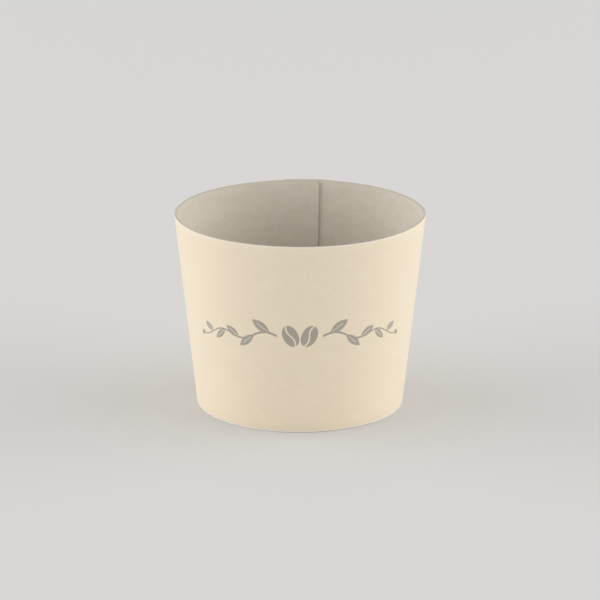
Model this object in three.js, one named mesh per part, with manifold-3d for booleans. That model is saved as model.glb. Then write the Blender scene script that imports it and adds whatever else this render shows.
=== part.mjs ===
// Takeaway coffee cup sleeve: one die-cut strip of board, scored at two fold lines, wrapped into a cone
// and closed with a glued lap down the back.
// Units are millimetres, +Z is up. The origin is the centre of the bottom rim, the plain front faces -Y,
// the fold lines lie at +X and -X, and the lap is centred on +Y.

import * as THREE from "three";
import Module from "manifold-3d";

// Driving dimensions of the cone
const boreAtTop = 80.7; // diameter inside the top rim
const boreAtBottom = 66.1; // diameter inside the bottom rim
const sleeveHeight = 65.0; // upright, from rim to rim
const boardThickness = 0.8; // square to the face of the board
const arrisRadius = 0.2; // softened corners of the die-cut rims
const arrisLimit = 0.4; // most of the wall that one softened corner may take, as a share

// The glued lap and the ends of the blank, as lengths along the board at mid-height
const lapWidth = 12.0; // overlap of the two ends
const lapRise = 7.0; // length over which the board climbs onto the overlap
const glueBite = 0.05; // how far the glued faces are pressed into each other
const endCornerRadius = 2.0; // rounded corners at both ends of the blank

// The fold lines
const scoreWidth = 2.6; // pressed band of each fold line
const scoreGroove = 0.2; // depth of its groove on the outside
const scoreBead = 0.14; // height of its bead on the inside
const foldStandOff = 0.3; // how far a fold line stands off the round
const foldReach = 13.0; // length on each side over which the stand-off fades

// Smoothness
const stationsPerTurn = 120;
const closestStations = 1 / 12; // least gap between two stations, as a share of the even step
const stationsPerCorner = 5;
const stationsPerScore = 8;
const arrisSteps = 3;

// Worked out from the dimensions above
const fullTurn = 2 * Math.PI;
const bottomRadius = boreAtBottom / 2;
const lean = (boreAtTop - boreAtBottom) / 2 / sleeveHeight; // outward run of the wall per unit of height
const wallThickness = boardThickness * Math.hypot(1, lean); // the board's thickness measured level
const midRadius = (boreAtTop + boreAtBottom) / 4 + wallThickness / 2;
const arris = Math.min(arrisRadius, arrisLimit * wallThickness);
const angleOf = (length) => length / midRadius;

const lapAngle = angleOf(lapWidth);
const innerEnd = 0; // angles along the board start at the end that lies inside the lap
const outerEnd = fullTurn + lapAngle;
const backOfSleeve = fullTurn / 4;
const innerEndBearing = backOfSleeve - lapAngle / 2;
const foldLines = [fullTurn / 2 - innerEndBearing, fullTurn - innerEndBearing];

const smoothStep = (x) => {
  const t = THREE.MathUtils.clamp(x, 0, 1);
  return t * t * (3 - 2 * t);
};

// How far the board has climbed outwards, so that its outer end lies on its inner end.
function climb(along) {
  const start = fullTurn - angleOf(lapRise);
  return (wallThickness - glueBite) * smoothStep((along - start) / angleOf(lapRise));
}

// Shape across a fold line: 1 on the line, fading smoothly to 0 at the given length from it.
function nearFold(along, reach) {
  const gap = Math.min(...foldLines.map((line) => Math.abs(along - line)));
  return smoothStep(1 - gap / angleOf(reach));
}

// How much the rounded corners of the blank take off the top and the bottom near its two ends.
function cornerInset(along) {
  const fromEnd = Math.min(along - innerEnd, outerEnd - along) * midRadius;
  const inside = Math.max(endCornerRadius - fromEnd, 0);
  return endCornerRadius - Math.sqrt(endCornerRadius ** 2 - inside ** 2);
}

// The board's section at one angle along the blank, as a closed loop of points with rounded corners.
function section(along) {
  const bearing = innerEndBearing + along;
  const shift = climb(along) + foldStandOff * nearFold(along, foldReach);
  const score = nearFold(along, scoreWidth / 2);
  const inset = cornerInset(along);
  const low = inset;
  const high = sleeveHeight - inset;
  const inner = (z) => bottomRadius + lean * z + shift - scoreBead * score;
  const outer = (z) => bottomRadius + lean * z + shift + wallThickness - scoreGroove * score;

  const loop = [];
  const addCorner = (face, into, rim, up, leaving) => {
    for (let step = 0; step <= arrisSteps; step++) {
      const turn = ((leaving ? step : arrisSteps - step) / arrisSteps) * (Math.PI / 2);
      const z = rim - up * arris * (1 - Math.sin(turn));
      loop.push([face(z) + into * arris * (1 - Math.cos(turn)), z]);
    }
  };
  addCorner(outer, -1, low, -1, false);
  addCorner(outer, -1, high, 1, true);
  addCorner(inner, 1, high, 1, false);
  addCorner(inner, 1, low, -1, true);
  return loop.map(([r, z]) => new THREE.Vector3(r * Math.cos(bearing), r * Math.sin(bearing), z));
}

// Angles at which the board's section is drawn: evenly round the turn, and closer at ends and fold lines.
function stationsBetween(from, to) {
  const angles = [from, to];
  const addInside = (angle) => {
    if (angle > from && angle < to) angles.push(angle);
  };
  for (let i = 0; i * (fullTurn / stationsPerTurn) < outerEnd; i++) {
    addInside((i * fullTurn) / stationsPerTurn);
  }
  for (let i = 1; i <= stationsPerCorner; i++) {
    const fromEnd = angleOf(endCornerRadius) * (1 - Math.cos((i / stationsPerCorner) * (Math.PI / 2)));
    addInside(innerEnd + fromEnd);
    addInside(outerEnd - fromEnd);
  }
  for (const line of foldLines) {
    for (let i = 0; i <= stationsPerScore; i++) {
      addInside(line + angleOf(scoreWidth) * (i / stationsPerScore - 1 / 2));
    }
  }
  const leastStep = (fullTurn / stationsPerTurn) * closestStations;
  const standsClear = (angle, i) => angle - angles[i - 1] > leastStep && to - angle > leastStep;
  angles.sort((a, b) => a - b);
  return angles.filter((angle, i) => i === 0 || angle === to || standsClear(angle, i));
}

// The stretch of board between two angles as a closed solid: its sections joined in turn, with end faces.
function boardBetween(wasm, from, to) {
  const rings = stationsBetween(from, to).map(section);
  const size = rings[0].length;
  const points = rings.flat().flatMap((p) => [p.x, p.y, p.z]);
  const faces = [];
  for (let ring = 0; ring + 1 < rings.length; ring++) {
    for (let i = 0; i < size; i++) {
      const a = ring * size + i;
      const b = ring * size + ((i + 1) % size);
      faces.push(a, a + size, b, b, a + size, b + size);
    }
  }
  const last = (rings.length - 1) * size;
  for (let i = 1; i + 1 < size; i++) {
    faces.push(0, i, i + 1);
    faces.push(last, last + i + 1, last + i);
  }
  return new wasm.Manifold(
    new wasm.Mesh({
      numProp: 3,
      vertProperties: new Float32Array(points),
      triVerts: new Uint32Array(faces),
    }),
  );
}

function geometryOf(solid) {
  const mesh = solid.getMesh();
  const geometry = new THREE.BufferGeometry();
  geometry.setAttribute("position", new THREE.BufferAttribute(mesh.vertProperties, 3));
  geometry.setIndex(new THREE.BufferAttribute(mesh.triVerts, 1));
  geometry.computeVertexNormals();
  return geometry;
}

const wasm = await Module();
wasm.setup();

// Two stretches of the one board, joined at the front and glued where the second one laps the first.
const frontOfBoard = fullTurn / 2;
const wrapped = boardBetween(wasm, innerEnd, frontOfBoard).add(boardBetween(wasm, frontOfBoard, outerEnd));

const board = new THREE.MeshStandardMaterial({ color: 0xeee0c4, roughness: 0.85, metalness: 0 });
const sleeve = new THREE.Mesh(geometryOf(wrapped), board);
sleeve.name = "sleeve";

const cupSleeve = new THREE.Group();
cupSleeve.add(sleeve);

export default cupSleeve;
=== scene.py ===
"""Looks of a takeaway cup sleeve: the wound board as a fine mesh, its finishes, a floor, lamps and a camera.

Lengths are in metres. The sleeve stands on its narrow rim, +Z is up, the printed front faces -Y, the two
fold lines lie at +X and -X, and the glued lap is centred on +Y. "Along" is an angle round the board, counted
from the end that lies inside the lap.
"""

from math import cos, pi, radians, sin

import bpy
import numpy as np
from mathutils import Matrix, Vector


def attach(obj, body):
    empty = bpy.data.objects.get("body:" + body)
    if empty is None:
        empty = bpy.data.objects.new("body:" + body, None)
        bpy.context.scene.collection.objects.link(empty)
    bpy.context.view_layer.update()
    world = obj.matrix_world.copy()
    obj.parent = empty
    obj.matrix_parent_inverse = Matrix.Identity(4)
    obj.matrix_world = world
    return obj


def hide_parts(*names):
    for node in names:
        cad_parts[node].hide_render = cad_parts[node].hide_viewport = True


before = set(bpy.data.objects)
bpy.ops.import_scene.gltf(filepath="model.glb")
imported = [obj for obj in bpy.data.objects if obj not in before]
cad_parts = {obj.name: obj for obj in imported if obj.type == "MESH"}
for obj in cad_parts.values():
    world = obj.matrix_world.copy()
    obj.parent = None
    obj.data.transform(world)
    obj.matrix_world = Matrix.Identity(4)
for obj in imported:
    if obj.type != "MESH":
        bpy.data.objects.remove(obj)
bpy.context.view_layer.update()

MM = 0.001
TURN = 2 * pi

# The lap, the fold lines and the ends of the board
LAP_WIDTH = 12.0 * MM
LAP_RISE = 7.0 * MM
GLUE_LINE = 0.02 * MM
END_CORNER = 2.0 * MM
SCORE_WIDTH = 2.6 * MM
SCORE_GROOVE = 0.2 * MM
SCORE_BEAD = 0.14 * MM
FOLD_STAND_OFF = 0.3 * MM
FOLD_REACH = 13.0 * MM
ARRIS = 0.2 * MM

# Half of the arc round the front where the board lies plain
PLAIN_HALF_ARC = radians(30)

# The free end of the lap lifts a little, most at its corners: a higher power keeps the lift closer to them
FLAP_LIFT = 0.13 * MM
FLAP_LIFT_REACH = 3.5 * MM
FLAP_LIFT_AT_MIDDLE = 0.35
FLAP_CORNER_POWER = 3

# Slow waves in the board, as how many go round, where they start, and their height
BODY_WAVES = ((2, 0.4, 0.042 * MM), (3, 2.1, 0.018 * MM))
RIM_WAVES = ((5, 1.2, 0.035 * MM),)
RIM_DIP = 0.05 * MM
RIM_DIPS = 4

# Fineness of the mesh: a station's place keeps these decimals, and no two lie closer than the least step
STATION_STEP = 0.42 * MM
FINE_STEP = 0.12 * MM
LEAST_STEP = 0.008 * MM
STATION_DECIMALS = 7
FACE_ROWS = 22
ARRIS_ROWS = 4
EDGE_ROWS = 3
CORNER_ROWS = 11

# The printed ornament on the front, on a curve that droops to both ends
PRINT_HEIGHT = 34.0 * MM
PRINT_HALF_WIDTH = 37.0 * MM
PRINT_DROOP = 2.7 * MM
INK_SOFT = 0.05 * MM
OUTLINE_SOFT = 0.05

# Its ink, which covers a little less of the paper where the grain stands above this level
THIN_INK_OVER = 0.72
THIN_INK_SOFT = 0.12
THIN_INK_COVER = 0.92

# The ornament's two coffee beans, with a slit that winds by a share of their width
BEAN_LENGTH = 7.8 * MM
BEAN_WIDTH = 5.0 * MM
BEAN_OFFSET = 3.0 * MM
BEAN_TILT = radians(24)
HALF_SLIT = 0.25 * MM
SLIT_WINDING = 0.1

# The ornament's two sprigs, each with a berry at its tip
SPRIG_START = 7.4 * MM
SPRIG_WAVE = 16.0 * MM
SPRIG_SWAY = 1.25 * MM
HALF_STEM_AT_FOOT = 0.42 * MM
HALF_STEM_AT_TIP = 0.2 * MM
BERRY_RADIUS = 0.85 * MM

# The leaves of a sprig, with a vein that ends at a share of the way from the leaf's middle to its tip
LEAVES = 5
FIRST_LEAF = 9.8 * MM
LEAF_SPACING = 5.4 * MM
LEAF_LENGTH = 7.2 * MM
LEAF_SHRINKS_BY = 0.6 * MM
LEAF_SLIMNESS = 0.41
LEAF_LEAN = radians(38)
HALF_VEIN = 0.1 * MM
VEIN_END = 0.5

# Pale bands along the edges, as how far they reach from an edge, and the share of pale paper that shows
# there
# Along the foot and the cut rims and ends they are partly worn print and partly painted highlight on the
# arrises; along the folds they are worn print
FOOT_WEAR_AND_HIGHLIGHT = (0.24 * MM, 0.9)
CUT_WEAR_AND_HIGHLIGHT = (0.1 * MM, 0.5)
FOLD_WEAR = (0.16 * MM, 0.35)
RAGGEDNESS = 0.7 * MM

# How the fibres of the pulp lie, as their turn from the blank's length, and their share
FIBRE_LAY = ((radians(6), 0.4), (radians(-24), 0.3), (radians(61), 0.3))

# Flecks of the inside, where their noise is under this level, made ragged by the grain
FLECKS_UNDER = 0.27
FLECK_SOFT = 0.03
FLECK_RAGGEDNESS = 0.3
FLECK_COVER = 0.5

# Relief of the three surfaces
PAPER_RELIEF = 0.05 * MM
BOARD_RELIEF = 0.07 * MM
CUT_RELIEF = 0.015 * MM

# Colours, as they are seen in plain light
CREAM = (238, 224, 201)
CREAM_SHADE = (228, 213, 187)
# Pale paper where the print is worn, which is also the painted highlight along the rims and ends
BARE_PAPER_AND_HIGHLIGHT = (243, 239, 232)
INK = (166, 160, 149)
RAW_BOARD = (212, 205, 192)
RAW_SHADE = (193, 185, 171)
FLECK = (166, 156, 139)
CUT_BOARD = (191, 184, 170)
CUT_SHADE = (170, 162, 148)

# The floor: a square of matt paint
FLOOR = (203, 202, 200)
FLOOR_HALF = 6.0
FLOOR_ROUGHNESS = 0.9
FLOOR_SPECULAR = 0.1

# The camera, as the photograph has it: a long lens, looking down on the sleeve
VIEW_PITCH = radians(16.95)
VIEW_DISTANCE = 1.387
LOOK_AT_HEIGHT = 34.84 * MM
FOCAL_PIXELS = 4186.0
IMAGE_PIXELS = 600.0
SENSOR_MILLIMETRES = 36.0
VIEW_DEPTH = 20.0

# Light: a level is about what a white surface shows that faces the sky or one lamp squarely
SKY_LEVEL = 0.76
LAMP_LEVEL = 0.7
LAMP_ELEVATION = radians(22)
LAMP_DISTANCE = 2.2
LAMP_LENGTH = 3.4
LAMP_HEIGHT = 1.1


def linear(colour):
    """An 8-bit screen colour as the linear numbers that Blender's shaders take, by the sRGB formula."""
    channels = []
    for level in colour:
        share = level / 255
        channels.append(share / 12.92 if share <= 0.04045 else ((share + 0.055) / 1.055) ** 2.4)
    return (*channels, 1.0)


def smooth_step(x):
    """0 up to 0 and 1 from 1 on, with a smooth rise between."""
    share = np.clip(x, 0, 1)
    return share * share * (3 - 2 * share)


class Cone:
    """The sleeve's cone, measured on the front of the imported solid, where the board lies plain."""

    def __init__(self, node):
        corners = np.array([vertex.co for vertex in node.data.vertices], float)
        bearing = np.arctan2(corners[:, 1], corners[:, 0])
        front = corners[np.abs(bearing + pi / 2) < PLAIN_HALF_ARC]
        radius = np.hypot(front[:, 0], front[:, 1])
        self.height = corners[:, 2].max()
        low = front[:, 2] < self.height / 2
        inner_low = radius[low].min()
        self.lean = (radius[~low].max() - radius[low].max()) / (self.height - 2 * ARRIS)
        self.bore_low = inner_low - self.lean * ARRIS
        self.wall = radius[low].max() - inner_low
        self.mid_radius = self.bore_low + self.lean * self.height / 2 + self.wall / 2

    def angle_of(self, length):
        """A length along the board at mid-height, as an angle."""
        return length / self.mid_radius


cone = Cone(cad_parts["sleeve"])

# Places along the board, as angles
LAP_ANGLE = cone.angle_of(LAP_WIDTH)
OUTER_END = TURN + LAP_ANGLE
INNER_END_BEARING = pi / 2 - LAP_ANGLE / 2
FOLD_LINES = (TURN / 2 - INNER_END_BEARING, TURN - INNER_END_BEARING)
FRONT = 3 * pi / 2 - INNER_END_BEARING

# The flat blank: its length, and places on it counted from the front's middle
BLANK_LENGTH = OUTER_END * cone.mid_radius
BLANK_MIDDLE = (OUTER_END / 2 - FRONT) * cone.mid_radius
FOLD_PLACES = [(line - FRONT) * cone.mid_radius for line in FOLD_LINES]
FACE_HEIGHT = cone.height - 2 * ARRIS


def near_fold(along, reach):
    """1 on a fold line, fading smoothly to 0 at that length from it."""
    gap = np.min([np.abs(along - line) for line in FOLD_LINES], axis=0)
    return smooth_step(1 - gap / cone.angle_of(reach))


def climb(along):
    """How far the board has climbed outwards, so that its outer end lies on its inner end."""
    start = TURN - cone.angle_of(LAP_RISE)
    return (cone.wall + GLUE_LINE) * smooth_step((along - start) / cone.angle_of(LAP_RISE))


def rounding_at_ends(along, radius):
    """How much a corner of that radius takes off near the board's two ends."""
    from_end = np.minimum(along, OUTER_END - along) * cone.mid_radius
    inside = np.clip(radius - from_end, 0, radius)
    return radius - np.sqrt(radius**2 - inside**2)


def flap_lift(along, share_up):
    """How far the outer end of the lap stands off the layer below."""
    at_end = smooth_step(1 - (OUTER_END - along) * cone.mid_radius / FLAP_LIFT_REACH)
    at_corner = np.abs(2 * share_up - 1) ** FLAP_CORNER_POWER
    return FLAP_LIFT * at_end * (FLAP_LIFT_AT_MIDDLE + (1 - FLAP_LIFT_AT_MIDDLE) * at_corner)


def waves(kinds, bearing):
    """The summed height of some waves that go round the sleeve."""
    return sum(height * np.sin(count * bearing + start) for count, start, height in kinds)


def waver(bearing, share_up):
    """The slight unevenness of a sleeve that was stored flat: both layers of the lap share it."""
    return waves(BODY_WAVES, bearing) + waves(RIM_WAVES, bearing) * (2 * share_up - 1)


def rim_dip(bearing):
    """How far the cut rims fall short of the board's full height."""
    return RIM_DIP * (1 + np.sin(RIM_DIPS * bearing)) / 2


def stations():
    """Angles along the board at which its section is drawn, closer at the ends and the fold lines."""
    marks = list(np.linspace(0, BLANK_LENGTH, round(BLANK_LENGTH / STATION_STEP) + 1))
    for line in FOLD_LINES:
        middle = line * cone.mid_radius
        marks += list(np.arange(middle - SCORE_WIDTH / 2, middle + SCORE_WIDTH / 2, FINE_STEP))
    for radius, rows in ((ARRIS, ARRIS_ROWS), (END_CORNER, CORNER_ROWS)):
        for offset in radius * (1 - np.cos(np.linspace(0, pi / 2, rows + 1))):
            marks += [offset, BLANK_LENGTH - offset]
    marks = np.unique(np.round(marks, STATION_DECIMALS))
    keep = np.concatenate(([True], np.diff(marks) > LEAST_STEP))
    keep[-1] = True
    return marks[keep] / cone.mid_radius


def half_section():
    """The outer half of the board's section, from the middle of its foot to the middle of its top.

    It gives each point's depth under the outer face, each point's height, and the band between each point
    and the next. The shoulder is the part of a softened corner that lies next to the face.
    """
    foot = [(depth, 0.0) for depth in np.linspace(cone.wall / 2, ARRIS, EDGE_ROWS + 1)[:-1]]
    for turn in np.linspace(0, pi / 2, ARRIS_ROWS + 1):
        foot.append((ARRIS * (1 - sin(turn)), ARRIS * (1 - cos(turn))))
    face = [(0.0, up) for up in np.linspace(ARRIS, cone.height - ARRIS, FACE_ROWS + 1)[1:-1]]
    top = [(depth, cone.height - up) for depth, up in reversed(foot)]
    depths, heights = np.array(foot + face + top).T
    rim = ["edge"] * (EDGE_ROWS + ARRIS_ROWS // 2) + ["shoulder"] * (ARRIS_ROWS - ARRIS_ROWS // 2)
    return depths, heights, rim + ["face"] * FACE_ROWS + rim[::-1]


def places_of(along, across, heights):
    """Points of the board: a row for each station along it, and a column for each point of its section."""
    angle = along[:, None]
    bearing = INNER_END_BEARING + angle
    share_up = heights[None, :] / cone.height
    share_out = across[None, :] / cone.wall
    softening = rounding_at_ends(angle, ARRIS)
    inset = rounding_at_ends(angle, END_CORNER) + softening + rim_dip(bearing)
    z = inset + (cone.height - 2 * inset) * share_up
    score_depth = SCORE_BEAD + (SCORE_GROOVE - SCORE_BEAD) * share_out
    radius = cone.bore_low + cone.lean * z + softening + (cone.wall - 2 * softening) * share_out
    radius = radius - score_depth * near_fold(angle, SCORE_WIDTH / 2)
    radius = radius + climb(angle) + FOLD_STAND_OFF * near_fold(angle, FOLD_REACH)
    radius = radius + flap_lift(angle, share_up) + waver(bearing, share_up)
    return np.stack((radius * np.cos(bearing), radius * np.sin(bearing), z), axis=-1)


# Which material each band of the section takes, on each side of the board
OUTER_SLOT, INNER_SLOT, EDGE_SLOT = range(3)
OUTSIDE = {"face": OUTER_SLOT, "shoulder": OUTER_SLOT, "edge": EDGE_SLOT}
INSIDE = {"face": INNER_SLOT, "shoulder": EDGE_SLOT, "edge": EDGE_SLOT}


def end_caps(top, count):
    """Faces that close an end of the blank: one at the foot, one at the top, and a ladder between them.

    They are given as places in the section's loop of that count. Its first place is the middle of the foot,
    and the given top is the place of the middle of the top.
    """
    flat = EDGE_ROWS + 1
    caps = [range(-flat, flat + 1), range(top - flat, top + flat + 1)]
    caps += [(row, row + 1, count - row - 1, count - row) for row in range(flat, top - flat)]
    return [[row % count for row in cap] for cap in caps]


def build_sleeve():
    """The board as one closed mesh, wound into the cone, with a flat map of the blank for its finishes."""
    along = stations()
    depths, ups, bands = half_section()

    # The section's loop: up the outside, then down the inside
    across = np.concatenate((cone.wall - depths, depths[-2:0:-1]))
    heights = np.concatenate((ups, ups[-2:0:-1]))
    loop_slots = [OUTSIDE[band] for band in bands] + [INSIDE[band] for band in reversed(bands)]
    count = len(across)

    # Lengths on the flat map: along the blank, and round the loop from the foot of the outer face
    unrolled = (along - FRONT) * cone.mid_radius
    steps = np.hypot(np.diff(across, append=across[:1]), np.diff(heights, append=heights[:1]))
    around = np.concatenate(([0.0], np.cumsum(steps))) - steps[: EDGE_ROWS + ARRIS_ROWS].sum()

    # The skin, from each station to the next
    faces, slots, flat_places = [], [], []
    last = len(along) - 1
    for station in range(last):
        here = station * count
        beyond = here + count
        near, far = unrolled[station], unrolled[station + 1]
        for row, slot in enumerate(loop_slots):
            after = (row + 1) % count
            low, high = around[row], around[row + 1]
            faces.append((here + row, beyond + row, beyond + after, here + after))
            slots.append(slot)
            flat_places += [(near, low), (far, low), (far, high), (near, high)]

    # The two ends of the blank
    for station in (0, last):
        for cap in end_caps(len(bands), count):
            ring = cap[::-1] if station == last else cap
            faces.append(tuple(station * count + row for row in ring))
            slots.append(EDGE_SLOT)
            flat_places += [(heights[row], across[row]) for row in ring]

    mesh = bpy.data.meshes.new("sleeve_board")
    mesh.from_pydata(places_of(along, across, heights).reshape(-1, 3).tolist(), [], faces)
    for material in (outer_face(), inner_face(), cut_edge()):
        mesh.materials.append(material)
    mesh.polygons.foreach_set("material_index", slots)
    mesh.polygons.foreach_set("use_smooth", [True] * len(faces))
    blank = mesh.uv_layers.new(name="blank")
    blank.uv.foreach_set("vector", np.array(flat_places, np.float32).ravel())
    mesh.update()
    mesh.validate()
    return bpy.data.objects.new("sleeve_board", mesh)


class Field:
    """A number that varies over a surface: a node's output, which can be reckoned with like a number."""

    def __init__(self, tree, socket):
        self.tree = tree
        self.socket = socket

    def made_by(self, operation, *others):
        """The field that a math node makes from this one and from other fields or numbers."""
        node = self.tree.nodes.new("ShaderNodeMath")
        node.operation = operation
        for slot, value in zip(node.inputs, (self, *others)):
            if isinstance(value, Field):
                self.tree.links.new(value.socket, slot)
            else:
                slot.default_value = value
        return Field(self.tree, node.outputs[0])

    def __add__(self, other):
        return self.made_by("ADD", other)

    def __sub__(self, other):
        return self.made_by("SUBTRACT", other)

    def __rsub__(self, other):
        return self * -1.0 + other

    def __mul__(self, other):
        return self.made_by("MULTIPLY", other)

    def __truediv__(self, other):
        return self.made_by("DIVIDE", other)

    def __abs__(self):
        return self.made_by("ABSOLUTE")

    def squared(self):
        return self * self

    def contrasted(self, gain):
        """A field round one half, drawn further away from it."""
        return (self - 0.5) * gain + 0.5

    def root(self):
        return self.made_by("SQRT")

    def sine(self):
        return self.made_by("SINE")

    def largest(self, other):
        return self.made_by("MAXIMUM", other)

    def smallest(self, other):
        return self.made_by("MINIMUM", other)

    def below(self, limit, soft):
        """1 where this is under the limit, 0 where it is over, with a soft step between."""
        node = self.tree.nodes.new("ShaderNodeMapRange")
        node.interpolation_type = "SMOOTHSTEP"
        self.tree.links.new(self.socket, node.inputs["Value"])
        node.inputs["From Min"].default_value = limit - soft
        node.inputs["From Max"].default_value = limit + soft
        node.inputs["To Min"].default_value = 1.0
        node.inputs["To Max"].default_value = 0.0
        return Field(self.tree, node.outputs["Result"])


class Finish:
    """A material in the making: one Principled shader, and the nodes that feed it."""

    def __init__(self, name):
        self.material = bpy.data.materials.new(name)
        self.material.use_nodes = True
        self.tree = self.material.node_tree
        self.shader = self.tree.nodes["Principled BSDF"]
        uv = self.tree.nodes.new("ShaderNodeUVMap")
        uv.uv_map = "blank"
        self.blank = uv.outputs["UV"]

    def link(self, source, target):
        self.tree.links.new(source.socket if isinstance(source, Field) else source, target)

    def coordinates(self):
        """Lengths on the flat blank: along it from the front's middle, and up it from the face's foot."""
        node = self.tree.nodes.new("ShaderNodeSeparateXYZ")
        self.link(self.blank, node.inputs[0])
        return Field(self.tree, node.outputs["X"]), Field(self.tree, node.outputs["Y"])

    def noise(self, length, width, detail=2.0, shift=0.0, turn=0.0):
        """Noise from 0 to 1, with grains of about that length and width, shifted by that many grains."""
        place = self.tree.nodes.new("ShaderNodeMapping")
        place.vector_type = "TEXTURE"
        self.link(self.blank, place.inputs["Vector"])
        place.inputs["Location"].default_value = (shift * length, shift * width, 0.0)
        place.inputs["Rotation"].default_value = (0.0, 0.0, turn)
        place.inputs["Scale"].default_value = (length, width, 1.0)
        node = self.tree.nodes.new("ShaderNodeTexNoise")
        node.noise_dimensions = "2D"
        node.inputs["Scale"].default_value = 1.0
        node.inputs["Detail"].default_value = detail
        self.link(place.outputs["Vector"], node.inputs["Vector"])
        return Field(self.tree, node.outputs["Fac"])

    def fibres(self, length, width, shift):
        """Fibres as they lie in pressed pulp, from 0 to 1."""
        layers = [self.noise(length, width, shift=shift, turn=turn) * share for turn, share in FIBRE_LAY]
        along, slanting, across = layers
        return along + slanting + across

    def mix(self, share, first, second):
        """The first colour, with the second laid over it where the field says how much of it shows."""
        node = self.tree.nodes.new("ShaderNodeMix")
        node.data_type = "RGBA"
        self.link(share, node.inputs["Factor"])
        colour_slots = [slot for slot in node.inputs if slot.type == "RGBA"]
        for slot, colour in zip(colour_slots, (first, second)):
            if isinstance(colour, tuple):
                slot.default_value = linear(colour)
            else:
                self.link(colour, slot)
        return next(slot for slot in node.outputs if slot.type == "RGBA")

    def colour(self, source):
        self.link(source, self.shader.inputs["Base Color"])

    def roughness(self, field, least, most, specular):
        """Roughness that follows a field between 0 and 1, and the strength of the plain reflection."""
        self.link(field * (most - least) + least, self.shader.inputs["Roughness"])
        self.shader.inputs["Specular IOR Level"].default_value = specular

    def sheen(self, weight, roughness):
        self.shader.inputs["Sheen Weight"].default_value = weight
        self.shader.inputs["Sheen Roughness"].default_value = roughness

    def relief(self, height, depth):
        """Relief of that depth from a field between 0 and 1."""
        node = self.tree.nodes.new("ShaderNodeBump")
        node.inputs["Strength"].default_value = 1.0
        node.inputs["Distance"].default_value = depth
        self.link(height, node.inputs["Height"])
        self.link(node.outputs["Normal"], self.shader.inputs["Normal"])


def turned(x, y, place, turn):
    """The coordinates counted from a place, along a direction and square to it."""
    right = x - place[0]
    up = y - place[1]
    return right * cos(turn) + up * sin(turn), up * cos(turn) - right * sin(turn)


def leaf(x, y, foot, turn, length):
    """A pointed leaf that grows out of its foot, with a bare vein down its middle: 1 inside, 0 outside."""
    along, across = turned(x, y, foot, turn)
    half_length = length / 2
    half_width = LEAF_SLIMNESS * length / 2
    from_middle = (along - half_length) / half_length
    body = (from_middle.squared() + abs(across) / half_width).below(1.0, OUTLINE_SOFT)
    vein = abs(across).below(HALF_VEIN, INK_SOFT) * from_middle.below(VEIN_END, OUTLINE_SOFT)
    return body * (1.0 - vein)


def bean(x, y, place, turn):
    """A coffee bean: an oval with a bare, slightly winding slit along it."""
    along, across = turned(x, y, place, turn)
    oval = (along / (BEAN_LENGTH / 2)).squared() + (across / (BEAN_WIDTH / 2)).squared()
    winding = (along * (TURN / BEAN_LENGTH)).sine() * (BEAN_WIDTH * SLIT_WINDING)
    slit = abs(across - winding).below(HALF_SLIT, INK_SOFT)
    return oval.below(1.0, OUTLINE_SOFT) * (1.0 - slit)


def stem_height(out):
    """Height of a sprig's stem at a distance from the middle of the print."""
    return SPRIG_SWAY * sin((out - SPRIG_START) * TURN / SPRIG_WAVE)


def sprig(x, y):
    """A branch on each side of the middle, with leaves that get smaller outwards and a berry at the tip."""
    out = abs(x)
    from_start = out - SPRIG_START
    middle = (from_start * (TURN / SPRIG_WAVE)).sine() * SPRIG_SWAY
    taper = (HALF_STEM_AT_TIP - HALF_STEM_AT_FOOT) / (PRINT_HALF_WIDTH - SPRIG_START)
    half_stem = from_start * taper + HALF_STEM_AT_FOOT
    ends = out.below(PRINT_HALF_WIDTH, INK_SOFT) * (1.0 - from_start.below(0.0, INK_SOFT))
    ink = (abs(y - middle) - half_stem).below(0.0, INK_SOFT) * ends

    for number in range(LEAVES):
        side = 1 if number % 2 == 0 else -1
        foot = FIRST_LEAF + number * LEAF_SPACING
        length = LEAF_LENGTH - number * LEAF_SHRINKS_BY
        ink = ink.largest(leaf(out, y, (foot, stem_height(foot)), side * LEAF_LEAN, length))
    from_tip = (out - PRINT_HALF_WIDTH).squared() + (y - stem_height(PRINT_HALF_WIDTH)).squared()
    return ink.largest(from_tip.root().below(BERRY_RADIUS, INK_SOFT))


def ornament(x, up):
    """The print on the front: two coffee beans between two leafy sprigs. 1 where there is ink."""
    droop = (x / PRINT_HALF_WIDTH).squared() * PRINT_DROOP
    y = up - (PRINT_HEIGHT - ARRIS) + droop
    ink = sprig(x, y)
    for side in (-1, 1):
        ink = ink.largest(bean(x, y, (side * BEAN_OFFSET, 0.0), pi / 2 - side * BEAN_TILT))
    return ink


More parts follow.
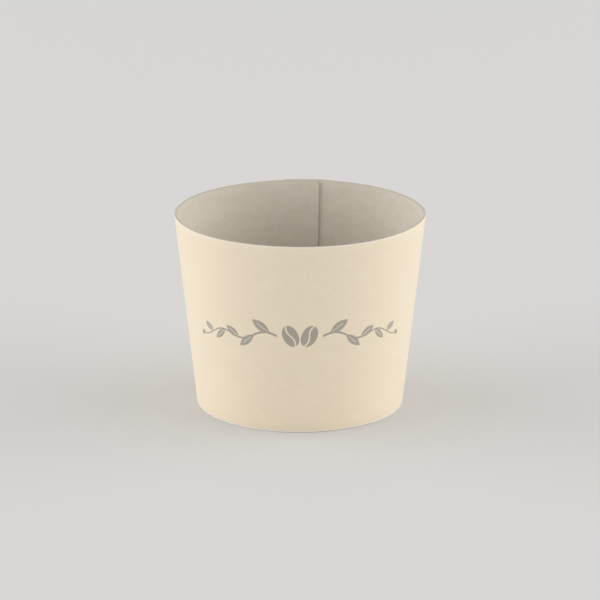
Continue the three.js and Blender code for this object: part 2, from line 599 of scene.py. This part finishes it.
def outer_face():
    """Cream printed paper: faint clouds, fine fibres, a grey ornament, worn folds, and pale arrises that are
    partly worn print and partly painted highlight.
    """
    finish = Finish("cream_paper")
    x, up = finish.coordinates()
    cloud = finish.noise(6 * MM, 4 * MM, detail=3.0)
    fibres = finish.fibres(2.0 * MM, 0.18 * MM, shift=31.0)
    tooth = finish.noise(0.8 * MM, 0.6 * MM, shift=12.0, turn=radians(20))
    grain = finish.noise(0.22 * MM, 0.2 * MM, detail=3.0, shift=57.0)
    tone = cloud * 0.15 + fibres * 0.6 + tooth * 0.25
    paper = finish.mix(tone.contrasted(gain=2.5), CREAM, CREAM_SHADE)

    cover = grain.below(THIN_INK_OVER, THIN_INK_SOFT) * (1 - THIN_INK_COVER) + THIN_INK_COVER
    printed = finish.mix(ornament(x, up) * cover, paper, INK)

    from_top = FACE_HEIGHT - up
    from_end = BLANK_LENGTH / 2 - abs(x - BLANK_MIDDLE)
    from_fold = abs(x - FOLD_PLACES[0]).smallest(abs(x - FOLD_PLACES[1]))
    # Pale bands: worn print along the folds; worn print and painted highlight along the foot and the cut
    # rims and ends
    worn_and_highlit_lines = (
        (up, FOOT_WEAR_AND_HIGHLIGHT),
        (from_top.smallest(from_end), CUT_WEAR_AND_HIGHLIGHT),
        (from_fold, FOLD_WEAR),
    )
    ragged = (grain * 0.4 + tooth * 0.6 - 0.5) * RAGGEDNESS
    wear_and_highlight = 0.0
    for distance, (reach, share) in worn_and_highlit_lines:
        wear_and_highlight = ((distance + ragged).below(reach, reach / 2) * share).largest(wear_and_highlight)
    finish.colour(finish.mix(wear_and_highlight, printed, BARE_PAPER_AND_HIGHLIGHT))

    finish.roughness(grain, least=0.66, most=0.78, specular=0.35)
    finish.sheen(weight=0.25, roughness=0.4)
    finish.relief(tooth * 0.5 + grain * 0.2 + fibres * 0.3, PAPER_RELIEF)
    return finish.material


def inner_face():
    """The board's unprinted inside: greyer, with coarser fibres and a few dark flecks."""
    finish = Finish("raw_board")
    cloud = finish.noise(5 * MM, 3 * MM, detail=4.0, shift=8.0)
    fibres = finish.fibres(2.6 * MM, 0.22 * MM, shift=74.0)
    tooth = finish.noise(0.8 * MM, 0.7 * MM, shift=43.0, turn=radians(-35))
    grain = finish.noise(0.25 * MM, 0.25 * MM, detail=3.0, shift=19.0)
    tone = cloud * 0.35 + fibres * 0.5 + tooth * 0.15
    board = finish.mix(tone.contrasted(gain=2.0), RAW_BOARD, RAW_SHADE)

    spots = finish.noise(1.1 * MM, 0.45 * MM, shift=66.0, turn=radians(28))
    spots = spots + (grain - 0.5) * FLECK_RAGGEDNESS
    finish.colour(finish.mix(spots.below(FLECKS_UNDER, FLECK_SOFT) * FLECK_COVER, board, FLECK))

    finish.roughness(grain, least=0.8, most=0.9, specular=0.2)
    finish.relief(tooth * 0.4 + grain * 0.2 + fibres * 0.4, BOARD_RELIEF)
    return finish.material


def cut_edge():
    """The die-cut edge, where the board's pressed layers show as streaks along it."""
    finish = Finish("cut_board")
    layers = finish.noise(3.5 * MM, 0.07 * MM, detail=3.0, shift=5.0)
    grain = finish.noise(0.2 * MM, 0.12 * MM, detail=3.0, shift=27.0)
    streaks = layers * 0.7 + grain * 0.3
    finish.colour(finish.mix(streaks, CUT_BOARD, CUT_SHADE))
    finish.roughness(grain, least=0.86, most=0.94, specular=0.15)
    finish.relief(streaks, CUT_RELIEF)
    return finish.material


def add_to_scene(thing):
    bpy.context.scene.collection.objects.link(thing)


def add_floor():
    """A wide, plain, pale floor under the sleeve."""
    mesh = bpy.data.meshes.new("floor")
    corners = [(x, y, 0) for x, y in ((-1, -1), (1, -1), (1, 1), (-1, 1))]
    mesh.from_pydata([Vector(corner) * FLOOR_HALF for corner in corners], [], [(0, 1, 2, 3)])
    material = bpy.data.materials.new("floor_paint")
    material.use_nodes = True
    shader = material.node_tree.nodes["Principled BSDF"]
    shader.inputs["Base Color"].default_value = linear(FLOOR)
    shader.inputs["Roughness"].default_value = FLOOR_ROUGHNESS
    shader.inputs["Specular IOR Level"].default_value = FLOOR_SPECULAR
    mesh.materials.append(material)
    floor = bpy.data.objects.new("floor", mesh)
    add_to_scene(floor)


def aim(thing, place, target):
    """Put a lamp or a camera in its place, and turn it to its target."""
    thing.location = place
    thing.rotation_euler = (Vector(target) - Vector(place)).to_track_quat("-Z", "Y").to_euler()


def add_lamps():
    """A long soft lamp on each side of the sleeve, and an even sky.

    The power is what a small lamp at that distance needs to bring a white surface to the level.
    """
    out = LAMP_DISTANCE * cos(LAMP_ELEVATION)
    up = LOOK_AT_HEIGHT + LAMP_DISTANCE * sin(LAMP_ELEVATION)
    for side in (-1, 1):
        lamp = bpy.data.lights.new("side_lamp", "AREA")
        lamp.shape = "RECTANGLE"
        lamp.size = LAMP_LENGTH
        lamp.size_y = LAMP_HEIGHT
        lamp.energy = pi**2 * LAMP_LEVEL * LAMP_DISTANCE**2
        piece = bpy.data.objects.new("side_lamp", lamp)
        aim(piece, (side * out, 0, up), (0, 0, LOOK_AT_HEIGHT))
        add_to_scene(piece)

    world = bpy.data.worlds.new("sky")
    world.use_nodes = True
    sky = world.node_tree.nodes["Background"]
    sky.inputs["Color"].default_value = (1.0, 1.0, 1.0, 1.0)
    sky.inputs["Strength"].default_value = SKY_LEVEL
    bpy.context.scene.world = world


def add_camera():
    """The camera in front of the sleeve, aimed a little above the middle of its height."""
    camera = bpy.data.cameras.new("camera")
    camera.sensor_width = SENSOR_MILLIMETRES
    camera.lens = FOCAL_PIXELS / IMAGE_PIXELS * SENSOR_MILLIMETRES
    camera.clip_end = VIEW_DEPTH
    piece = bpy.data.objects.new("camera", camera)
    back = VIEW_DISTANCE * cos(VIEW_PITCH)
    up = LOOK_AT_HEIGHT + VIEW_DISTANCE * sin(VIEW_PITCH)
    aim(piece, (0, -back, up), (0, 0, LOOK_AT_HEIGHT))
    add_to_scene(piece)
    bpy.context.scene.camera = piece


add_camera()
sleeve = build_sleeve()
add_to_scene(sleeve)
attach(sleeve, "root")
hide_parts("sleeve")
add_floor()
add_lamps()
bpy.context.scene.view_settings.view_transform = "Standard"
